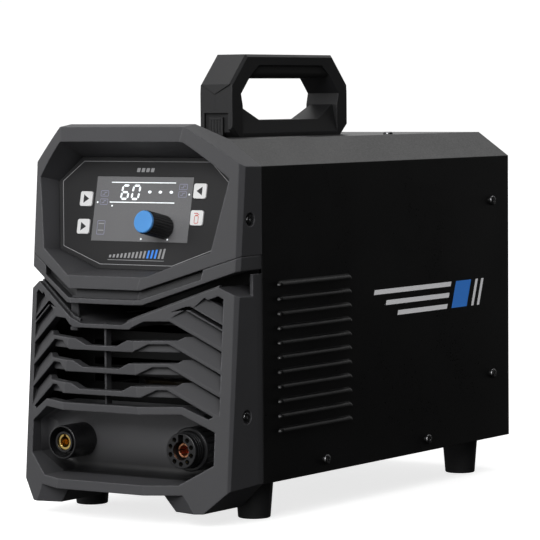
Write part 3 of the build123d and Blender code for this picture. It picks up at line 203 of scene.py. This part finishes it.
# ------------------------------------------------------------------ finishes, one for each slot
finishes = {
    "cover_paint": plastic("cover_paint", (0.0032, 0.0032, 0.0034), 0.36, specular=0.42, grain_scale=620.0,
                           grain_depth=0.035, edge_radius=0.8, edge_light=3.0, mottle=0.08),
    "chassis_steel": metal("chassis_steel", (0.62, 0.63, 0.64), 0.34),
    "front_plastic": plastic("front_plastic", (0.060, 0.060, 0.064), 0.5, specular=0.3, grain_scale=2200.0,
                             grain_depth=0.022, edge_radius=1.4, edge_light=3.0, edge_share=0.9,
                             hollow_dark=0.85, hollow_reach=16.0),
    "panel_plastic": plastic("panel_plastic", (0.036, 0.036, 0.038), 0.42, hollow_dark=0.6),
    "overlay_film": plastic("overlay_film", (0.017, 0.017, 0.018), 0.42, specular=0.35, grain_scale=2600.0,
                            grain_depth=0.01),
    "window_tint": plastic("window_tint", (0.16, 0.16, 0.165), 0.22, grain_depth=0.002, edge_radius=0.2),
    "key_white": plastic("key_white", (0.78, 0.78, 0.78), 0.35, grain_depth=0.006, edge_light=1.05),
    "knob_black": plastic("knob_black", (0.012, 0.012, 0.013), 0.42),
    "knob_blue": plastic("knob_blue", (0.075, 0.29, 0.68), 0.38, edge_light=1.2),
    "socket_black": plastic("socket_black", (0.010, 0.010, 0.011), 0.3, edge_light=3.0, edge_radius=0.4),
    "contact_brass": metal("contact_brass", (0.83, 0.60, 0.20), 0.24),
    "contact_copper": metal("contact_copper", (0.66, 0.31, 0.17), 0.3),
    "handle_plastic": plastic("handle_plastic", (0.016, 0.016, 0.017), 0.46, specular=0.4, edge_radius=0.8,
                              edge_light=2.6, edge_share=0.7, hollow_dark=0.6),
    "handle_rubber": rubber("handle_rubber", (0.014, 0.014, 0.014)),
    "foot_rubber": rubber("foot_rubber", (0.014, 0.014, 0.015)),
    "screw_black": metal("screw_black", (0.22, 0.22, 0.225), 0.26, stretch=(1, 1, 1)),
    "screw_zinc": metal("screw_zinc", (0.66, 0.66, 0.67), 0.3),
    "fan_plastic": plastic("fan_plastic", (0.018, 0.018, 0.019), 0.42),
    "switch_black": plastic("switch_black", (0.014, 0.014, 0.014), 0.3),
    "rocker_red": plastic("rocker_red", (0.55, 0.03, 0.02), 0.28, edge_light=1.2),
    "cable_jacket": rubber("cable_jacket", (0.015, 0.015, 0.015), 0.55),
    "hose_blue": rubber("hose_blue", (0.06, 0.16, 0.45), 0.4, edge_light=1.2),
    "valve_metal": metal("valve_metal", (0.70, 0.70, 0.71), 0.32),
    "circuit_board": plastic("circuit_board", (0.02, 0.16, 0.06), 0.35, edge_light=1.3),
    "component_black": plastic("component_black", (0.025, 0.025, 0.025), 0.4),
    "sink_aluminium": metal("sink_aluminium", (0.05, 0.05, 0.055), 0.4),
    "ferrite": plastic("ferrite", (0.05, 0.05, 0.052), 0.6),
    "winding_tape": plastic("winding_tape", (0.035, 0.026, 0.012), 0.45, edge_light=1.2),
    "capacitor_sleeve": plastic("capacitor_sleeve", (0.03, 0.04, 0.09), 0.3, edge_light=1.3),
}


def paint_light_by_height(s, low, high, dark, bright):
    """Multiplies the base colour from dark at the low height to bright at the high one: painted light and
    shade.
    """
    height = s.add("ShaderNodeSeparateXYZ")
    s.link(s.place, "Object", height, "Vector")
    level = s.add("ShaderNodeMapRange", interpolation_type="SMOOTHSTEP")
    for socket, value in (("From Min", low), ("From Max", high), ("To Min", dark), ("To Max", bright)):
        level.inputs[socket].default_value = value
    s.link(height, "Z", level, "Value")
    scale = s.add("ShaderNodeVectorMath", operation="SCALE")
    base = s.body.inputs["Base Color"].links[0].from_socket
    s.tree.links.new(base, scale.inputs[0])
    s.link(level, "Result", scale, "Scale")
    s.link(scale, "Vector", s.body, "Base Color")


# Painted light and shade on the dish of the socket panel: dark at its foot, lighter along its upper half
DISH_FOOT = 5.0
DISH_CROWN = 12.0
DISH_DARK = 0.30
DISH_BRIGHT = 4.2
dish_low, dish_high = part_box("socket_panel")
paint_light_by_height(finishes["panel_plastic"], dish_low[2] + DISH_FOOT * MM, dish_high[2] - DISH_CROWN * MM,
                 DISH_DARK, DISH_BRIGHT)


def dress_cad_nodes():
    """Every carried-over node takes the finish of its material slot."""
    for part in frame["record"]["subparts"]:
        node = frame["nodes"][part["node"]]
        material = finishes[part["material_slot"]].material
        node.data.materials.clear()
        node.data.materials.append(material)


dress_cad_nodes()

# ------------------------------------------------------------------ printing on the panel, keys and cover
INK_ROUGHNESS = 0.45
INK_RELIEF = 0.004
FILM = 0.04


def ink(name, colour, glow=0.0, fade=0.15):
    """Screen printing: even colour that thins out a little in patches, over a faint grain."""
    s = Shader(name)
    thin = s.noise(160.0, 4.0)
    base = s.mixed(thin.outputs["Fac"], tint(colour, 1 - fade), colour)
    s.tree.links.new(base, s.body.inputs["Base Color"])
    grain = s.noise(2400.0, 2.0)
    rough = s.ranged(grain, "Fac", INK_ROUGHNESS - ROUGH_SPREAD, INK_ROUGHNESS + ROUGH_SPREAD)
    s.link(rough, "Result", s.body, "Roughness")
    bump = s.add("ShaderNodeBump")
    bump.inputs["Distance"].default_value = INK_RELIEF * MM
    s.link(grain, "Fac", bump, "Height")
    s.link(bump, "Normal", s.body, "Normal")
    s.body.inputs["Emission Color"].default_value = (*colour, 1.0)
    s.body.inputs["Emission Strength"].default_value = glow
    return s.material


# Painted light: the white ink glows a little, though print gives off no light
INK_WHITE = ink("ink_white", (0.86, 0.86, 0.88), glow=0.22, fade=0.06)
INK_GREY = ink("ink_grey", (0.34, 0.34, 0.35))
INK_DIM = ink("ink_dim", (0.30, 0.30, 0.42))
# Painted light: the blue ink glows a little, though print gives off no light
INK_BLUE = ink("ink_blue", (0.04, 0.22, 0.72), glow=0.25, fade=0.08)
INK_DARK = ink("ink_dark", (0.02, 0.02, 0.022))
INK_RED = ink("ink_red", (0.62, 0.08, 0.05))
LIT_WHITE = ink("lit_segments", (0.90, 0.95, 0.97), glow=0.55)


class Print:
    """Printing on a flat face: bars, boxes and dots gathered into one mesh of thin raised film.
    Places on the face are in millimetres, u across and v up."""

    DOT_STEPS = 20
    MITRE_LIMIT = 0.3

    def __init__(self, origin, across, up):
        self.origin = Vector(origin)
        self.across = Vector(across)
        self.up = Vector(up)
        self.out = self.across.cross(self.up)
        self.mesh = bmesh.new()

    def spot(self, u, v, d):
        """The point at u and v, raised d millimetres off the face."""
        return self.origin + (self.across * u + self.up * v + self.out * d) * MM

    def shape(self, points):
        """A filled outline, closed at its rim down to the face."""
        low = [self.mesh.verts.new(self.spot(u, v, 0.0)) for u, v in points]
        high = [self.mesh.verts.new(self.spot(u, v, FILM)) for u, v in points]
        self.mesh.faces.new(high)
        for i in range(len(points)):
            j = (i + 1) % len(points)
            self.mesh.faces.new((low[i], low[j], high[j], high[i]))

    def line(self, points, width, closed=False):
        """A line of even width through the points, mitred where it turns."""
        count = len(points)
        left, right = [], []
        for i, point in enumerate(points):
            here = Vector(point)
            before = Vector(points[i - 1]) if closed or i > 0 else None
            after = Vector(points[(i + 1) % count]) if closed or i < count - 1 else None
            steps = [step.normalized() for step in (here - before if before is not None else None,
                                                    after - here if after is not None else None)
                     if step is not None]
            along = (steps[0] + steps[-1]).normalized()
            side = Vector((-along.y, along.x)) * (width / 2) / max(self.MITRE_LIMIT, along.dot(steps[0]))
            left.append(tuple(here + side))
            right.append(tuple(here - side))
        for i in range(count if closed else count - 1):
            j = (i + 1) % count
            self.shape((left[i], right[i], right[j], left[j]))

    def dot(self, u, v, across, tall=None):
        """A filled round or oval spot."""
        tall = across if tall is None else tall
        turns = [2 * math.pi * i / self.DOT_STEPS for i in range(self.DOT_STEPS)]
        self.shape([(u + across / 2 * math.cos(turn), v + tall / 2 * math.sin(turn)) for turn in turns])

    def frame(self, u, v, width, height, stroke, corner):
        """The outline of a box with rounded corners."""
        points = []
        for su, sv, start in ((1, 1, 0), (-1, 1, 90), (-1, -1, 180), (1, -1, 270)):
            cu = u + su * (width / 2 - corner)
            cv = v + sv * (height / 2 - corner)
            for step in range(4):
                angle = math.radians(start + 30 * step)
                points.append((cu + corner * math.cos(angle), cv + corner * math.sin(angle)))
        self.line(points, stroke, closed=True)

    def finish(self, name, material, body):
        """Turns the sheet into a named piece that rides on the body."""
        bmesh.ops.recalc_face_normals(self.mesh, faces=self.mesh.faces)
        mesh = bpy.data.meshes.new(name)
        self.mesh.to_mesh(mesh)
        self.mesh.free()
        mesh.materials.append(material)
        piece = bpy.data.objects.new(name, mesh)
        bpy.context.scene.collection.objects.link(piece)
        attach(piece, body)


# The panel's own frame, taken from the knob's joint: u to the right, v up the slope
KNOB_U = 24.0
KNOB_V = -14.3
OVERLAY_TOP = 0.5
WINDOW_TOP = 0.3
KEY_TOP = 1.9
knob_joint = [j for j in frame["record"]["behaviour"]["joints"] if j["name"] == "knob_turn"][0]
panel_out = Vector(knob_joint["axis"]).normalized()
panel_across = Vector((1.0, 0.0, 0.0))
panel_up = panel_out.cross(panel_across)
panel_middle = Vector(knob_joint["pos_m"]) - (panel_across * KNOB_U + panel_up * KNOB_V) * MM


def on_panel(height):
    """An empty sheet in the panel's frame, at a height above the panel's face."""
    return Print(panel_middle + panel_out * height * MM, panel_across, panel_up)


def mirrored(points):
    """The right half of an outline, followed by its mirror image."""
    return points + [(-u, v) for u, v in reversed(points)]


DIGIT_WIDTH = 6.4
DIGIT_HEIGHT = 10.8
DIGIT_LEAN = 0.13
DIGIT_STROKE = 1.75
DIGIT_GAP = 0.45
DIGIT_SIX = ("top", "bottom", "middle", "lower_right", "lower_left", "upper_left")
DIGIT_ZERO = ("top", "bottom", "upper_right", "lower_right", "lower_left", "upper_left")


def segment_digit(sheet, u, v, bars):
    """A leaning seven-segment digit with its foot at u and v. The bars are the lit ones."""
    levels = {"top": DIGIT_HEIGHT, "middle": DIGIT_HEIGHT / 2, "bottom": 0.0}

    def bar(u0, v0, u1, v1):
        along = Vector((u1 - u0, v1 - v0)).normalized()
        side = Vector((-along.y, along.x)) * DIGIT_STROKE / 2
        tip = along * DIGIT_STROKE / 2
        a = Vector((u0, v0)) + along * DIGIT_GAP
        b = Vector((u1, v1)) - along * DIGIT_GAP
        points = [a, a + tip + side, b - tip + side, b, b - tip - side, a + tip - side]
        sheet.shape([(u + p.x + DIGIT_LEAN * p.y, v + p.y) for p in points])

    for name in bars:
        if name in levels:
            bar(0.0, levels[name], DIGIT_WIDTH, levels[name])
        else:
            level, side = name.split("_")
            u_side = DIGIT_WIDTH if side == "right" else 0.0
            low = DIGIT_HEIGHT / 2 if level == "upper" else 0.0
            bar(u_side, low, u_side, low + DIGIT_HEIGHT / 2)


SCALE_BARS = 15
SCALE_BLUE = (10, 11, 12)
SCALE_START = -27.5
SCALE_PITCH = 3.7
SCALE_FOOT = -39.5
SCALE_BAR = 1.9
SCALE_LEAN = 0.2
MARKS = 4
MARK_START = -9.0
MARK_PITCH = 4.6
MARK_WIDTH = 3.1
MARK_LEAN = 0.6
MARK_FOOT = 30.0
MARK_TOP = 33.2
DIGIT_FOOT = 8.2
DOTS_LEVEL = 14.0
LAMP = 1.5
SYMBOL_STROKE = 0.45
SYMBOL_CORNER = 0.6


def print_overlay():
    """On the overlay: the thin border, a plain rising scale and four plain marks above the window."""
    border = on_panel(OVERLAY_TOP)
    border.line(mirrored([(62.5, 38.5), (82.0, 21.9), (74.0, -31.0), (35.5, -45.0)]), 0.45, closed=True)
    border.finish("panel_border", INK_GREY, "machine")

    pale = on_panel(OVERLAY_TOP)
    blue = on_panel(OVERLAY_TOP)
    for i in range(SCALE_BARS):
        u = SCALE_START + SCALE_PITCH * i
        tall = 2.2 + 0.42 * i
        shift = tall * SCALE_LEAN
        target = blue if i in SCALE_BLUE else pale
        target.shape([(u, SCALE_FOOT), (u + SCALE_BAR, SCALE_FOOT),
                      (u + SCALE_BAR + shift, SCALE_FOOT + tall), (u + shift, SCALE_FOOT + tall)])
    pale.line([(-28.5, -41.3), (27.0, -41.3)], 0.4)
    for i in range(MARKS):
        u = MARK_START + MARK_PITCH * i
        pale.shape([(u, MARK_FOOT), (u + MARK_WIDTH, MARK_FOOT),
                    (u + MARK_LEAN + MARK_WIDTH, MARK_TOP), (u + MARK_LEAN, MARK_TOP)])
    pale.finish("scale_marks", INK_GREY, "machine")
    blue.finish("scale_marks_blue", INK_BLUE, "machine")


def print_window():
    """In the window: two lit lines, the digits 60, three oval dots, small lamps and dim symbols."""
    lit = on_panel(WINDOW_TOP)
    lit.line([(-32.8, 21.5), (30.7, 21.5)], 0.75)
    lit.line([(-32.8, 5.4), (31.0, 5.4)], 0.75)
    segment_digit(lit, -22.2, DIGIT_FOOT, DIGIT_SIX)
    segment_digit(lit, -11.6, DIGIT_FOOT, DIGIT_ZERO)
    for u in (5.9, 16.3, 27.0):
        lit.dot(u, DOTS_LEVEL, 3.4, 2.3)
    for u, v in ((-44.9, 5.1), (-30.0, 2.4), (44.6, 12.4), (2.0, -24.0), (28.0, -24.0)):
        lit.dot(u, v, LAMP)
    lit.finish("lit_segments", LIT_WHITE, "machine")

    dim = on_panel(WINDOW_TOP)
    for u, v in ((-38.6, 12.3), (-38.7, 5.6), (38.3, 18.4), (38.1, 12.4)):
        dim.frame(u, v, 7.6, 4.4, SYMBOL_STROKE, SYMBOL_CORNER)
        dim.line([(u - 2.2, v - 0.7), (u, v - 0.7), (u, v + 0.8), (u + 2.2, v + 0.8)], 0.5)
    dim.frame(-38.9, -15.4, 7.4, 11.0, SYMBOL_STROKE, SYMBOL_CORNER)
    dim.finish("window_symbols", INK_DIM, "machine")
    rows = on_panel(WINDOW_TOP)
    for v in (-12.2, -17.6):
        rows.line([(-41.6, v), (-36.0, v)], 0.8)
    rows.finish("window_rows", INK_GREY, "machine")


def print_keys():
    """An arrow on three keys and a bottle outline on the fourth. Each print rides on its key."""
    arrows = (("left_upper", -55.7, 7.6, 1), ("left_lower", -55.7, -15.0, 1), ("right_upper", 55.5, 15.1, -1))
    for key, u, v, way in arrows:
        arrow = on_panel(KEY_TOP)
        arrow.shape([(u - way * 2.4, v - 3.5), (u + way * 3.0, v), (u - way * 2.4, v + 3.5)])
        arrow.finish("key_arrow_" + key, INK_DARK, "key_" + key)
    u, v = 55.0, -6.3
    bottle = on_panel(KEY_TOP)
    bottle.frame(u, v - 1.4, 3.6, 6.0, 0.5, 0.9)
    bottle.line([(u - 1.2, v + 2.0), (u + 1.2, v + 2.0)], 0.7)
    bottle.line([(u - 2.6, v + 3.6), (u + 0.4, v + 3.6), (u + 2.2, v + 2.4)], 0.6)
    bottle.finish("key_bottle_right_lower", INK_RED, "key_right_lower")


COVER_HALF = 104.0
BAND_START = 158.0
BAND_BASE = 117.0
BAND_LEAN = 0.35
BAND_FOOT = 3.0
BAND_TOP = 26.0


def print_cover():
    """A plain band on each side of the cover: three slim stripes, a blue block and two upright bars."""
    low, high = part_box("case_cover")
    middle_x = (low[0] + high[0]) / 2
    for side in (-1, 1):
        corner = (middle_x + side * COVER_HALF * MM, low[1] + BAND_START * MM, low[2] + BAND_BASE * MM)
        pale = Print(corner, (0, side, 0), (0, 0, 1))
        blue = Print(corner, (0, side, 0), (0, 0, 1))

        def stripe(sheet, near, far, v0, v1):
            sheet.shape([(side * near + BAND_LEAN * v0, v0), (side * far + BAND_LEAN * v0, v0),
                         (side * far + BAND_LEAN * v1, v1), (side * near + BAND_LEAN * v1, v1)][::side])

        stripe(pale, 0.0, 126.0, 22.0, BAND_TOP)
        stripe(pale, 22.0, 126.0, 12.5, 16.5)
        stripe(pale, 44.0, 126.0, BAND_FOOT, 7.0)
        stripe(blue, 134.0, 160.0, BAND_FOOT, BAND_TOP)
        stripe(pale, 168.0, 172.0, BAND_FOOT, BAND_TOP)
        stripe(pale, 178.0, 182.0, BAND_FOOT, BAND_TOP)
        tag = "right" if side > 0 else "left"
        pale.finish("cover_band_" + tag, INK_WHITE, "machine")
        blue.finish("cover_band_blue_" + tag, INK_BLUE, "machine")


print_overlay()
print_window()
print_keys()
print_cover()

# ------------------------------------------------------------------ stage
FLOOR_REACH = 9.0
GLOW_START = 0.76
GLOW_END = 1.0
GLOW_NEAR = 0.42
BACKDROP_LEVEL = 1.05
FRONT_PANEL = (-0.50, -0.74, 0.45)
FRONT_LEVEL = 0.55
BACK_PANEL = (-0.36, 0.84, 0.36)
BACK_LEVEL = 0.85
RIGHT_PANEL = (0.50, -0.84, 0.20)
RIGHT_LEVEL = 0.45
AMBIENT_LEVEL = 0.012


def make_floor():
    """Pale floor that meets the white backdrop without a line and keeps a faint contact shadow.
    It glows for the camera only and throws little light back up, so the undersides stay dark."""
    mesh = bpy.data.meshes.new("floor")
    build = bmesh.new()
    bmesh.ops.create_grid(build, x_segments=8, y_segments=8, size=FLOOR_REACH)
    build.to_mesh(mesh)
    build.free()
    floor = bpy.data.objects.new("floor", mesh)
    bpy.context.scene.collection.objects.link(floor)
    s = Shader("floor_pale")
    seen = s.add("ShaderNodeLightPath")
    drift = s.noise(1.5, 2.0)
    pale = s.mixed(drift.outputs["Fac"], (0.55, 0.55, 0.55), (0.60, 0.60, 0.60))
    base = s.mixed(seen.outputs["Is Camera Ray"], (0.10, 0.10, 0.10), pale)
    s.tree.links.new(base, s.body.inputs["Base Color"])
    s.body.inputs["Roughness"].default_value = 0.8
    s.body.inputs["Specular IOR Level"].default_value = 0.1
    away = s.add("ShaderNodeVectorMath", operation="LENGTH")
    s.link(s.place, "Object", away, 0)
    glow = s.ranged(away, "Value", GLOW_START, GLOW_END, GLOW_NEAR, 1.0)
    s.body.inputs["Emission Color"].default_value = (1.0, 1.0, 1.0, 1.0)
    s.tree.links.new(s.maths("MULTIPLY", seen.outputs["Is Camera Ray"], glow.outputs[0]),
                     s.body.inputs["Emission Strength"])
    mesh.materials.append(s.material)
    floor.visible_glossy = False


def area_light(name, spot, target, width, height, power):
    """A rectangular lamp at the spot, turned to the target."""
    data = bpy.data.lights.new(name, "AREA")
    data.shape = "RECTANGLE"
    data.size = width
    data.size_y = height
    data.energy = power
    light = bpy.data.objects.new(name, data)
    light.location = spot
    direction = Vector(target) - Vector(spot)
    light.rotation_mode = "QUATERNION"
    light.rotation_quaternion = direction.to_track_quat("-Z", "Y")
    bpy.context.scene.collection.objects.link(light)


def make_world():
    """White behind the object for the camera. For light and reflections, a dark studio with soft
    panels at the left front, high at the back left and low at the right front."""
    world = bpy.data.worlds.new("studio")
    bpy.context.scene.world = world
    world.use_nodes = True
    tree = world.node_tree
    tree.nodes.clear()

    def node(kind, **inputs):
        made = tree.nodes.new(kind)
        for socket, value in inputs.items():
            made.inputs[socket.replace("_", " ")].default_value = value
        return made

    place = node("ShaderNodeTexCoord")

    def soft_panel(direction, edge, core, strength):
        toward = node("ShaderNodeVectorMath")
        toward.operation = "DOT_PRODUCT"
        toward.inputs[1].default_value = Vector(direction).normalized()
        tree.links.new(place.outputs["Generated"], toward.inputs[0])
        level = node("ShaderNodeMapRange", From_Min=edge, From_Max=core, To_Min=0.0, To_Max=strength)
        level.interpolation_type = "SMOOTHSTEP"
        tree.links.new(toward.outputs["Value"], level.inputs["Value"])
        return level.outputs["Result"]

    def plus(a, b):
        total = node("ShaderNodeMath")
        tree.links.new(a, total.inputs[0])
        if isinstance(b, float):
            total.inputs[1].default_value = b
        else:
            tree.links.new(b, total.inputs[1])
        return total.outputs[0]

    front = soft_panel(FRONT_PANEL, 0.10, 0.95, FRONT_LEVEL)
    back = soft_panel(BACK_PANEL, 0.60, 0.93, BACK_LEVEL)
    right = soft_panel(RIGHT_PANEL, 0.70, 0.97, RIGHT_LEVEL)
    room = node("ShaderNodeBackground")
    tree.links.new(plus(plus(plus(front, back), right), AMBIENT_LEVEL), room.inputs["Strength"])
    white = node("ShaderNodeBackground", Strength=BACKDROP_LEVEL)
    white.inputs["Color"].default_value = (1.0, 1.0, 1.0, 1.0)
    path = node("ShaderNodeLightPath")
    pick = node("ShaderNodeMixShader")
    tree.links.new(path.outputs["Is Camera Ray"], pick.inputs[0])
    tree.links.new(room.outputs[0], pick.inputs[1])
    tree.links.new(white.outputs[0], pick.inputs[2])
    output = node("ShaderNodeOutputWorld")
    tree.links.new(pick.outputs[0], output.inputs["Surface"])


CAMERA_SPOT = (1.3906, -2.0825, 0.3364)
CAMERA_AZIMUTH = 33.83
CAMERA_TILT = 3.42
CAMERA_ROLL = -0.465
CAMERA_LENS = 196.3


def make_camera():
    data = bpy.data.cameras.new("camera")
    data.lens = CAMERA_LENS
    data.sensor_width = 36.0
    data.clip_start = 0.05
    data.clip_end = 50.0
    camera = bpy.data.objects.new("camera", data)
    turn = Matrix.Rotation(math.radians(CAMERA_AZIMUTH), 4, "Z")
    tilt = Matrix.Rotation(math.radians(90.0 - CAMERA_TILT), 4, "X")
    roll = Matrix.Rotation(math.radians(CAMERA_ROLL), 4, "Z")
    camera.matrix_world = Matrix.Translation(CAMERA_SPOT) @ turn @ tilt @ roll
    bpy.context.scene.collection.objects.link(camera)
    bpy.context.scene.camera = camera


make_floor()
make_world()
make_camera()
MACHINE_CENTRE = (0.0, 0.0, 0.18)
area_light("key", (0.4, -2.4, 1.3), MACHINE_CENTRE, 1.6, 1.2, 48.0)
area_light("top", (-0.3, 0.5, 2.2), MACHINE_CENTRE, 2.0, 1.6, 20.0)
area_light("left", (-2.2, -0.6, 0.9), MACHINE_CENTRE, 1.2, 1.6, 10.0)
bpy.context.scene.view_settings.view_transform = "Standard"
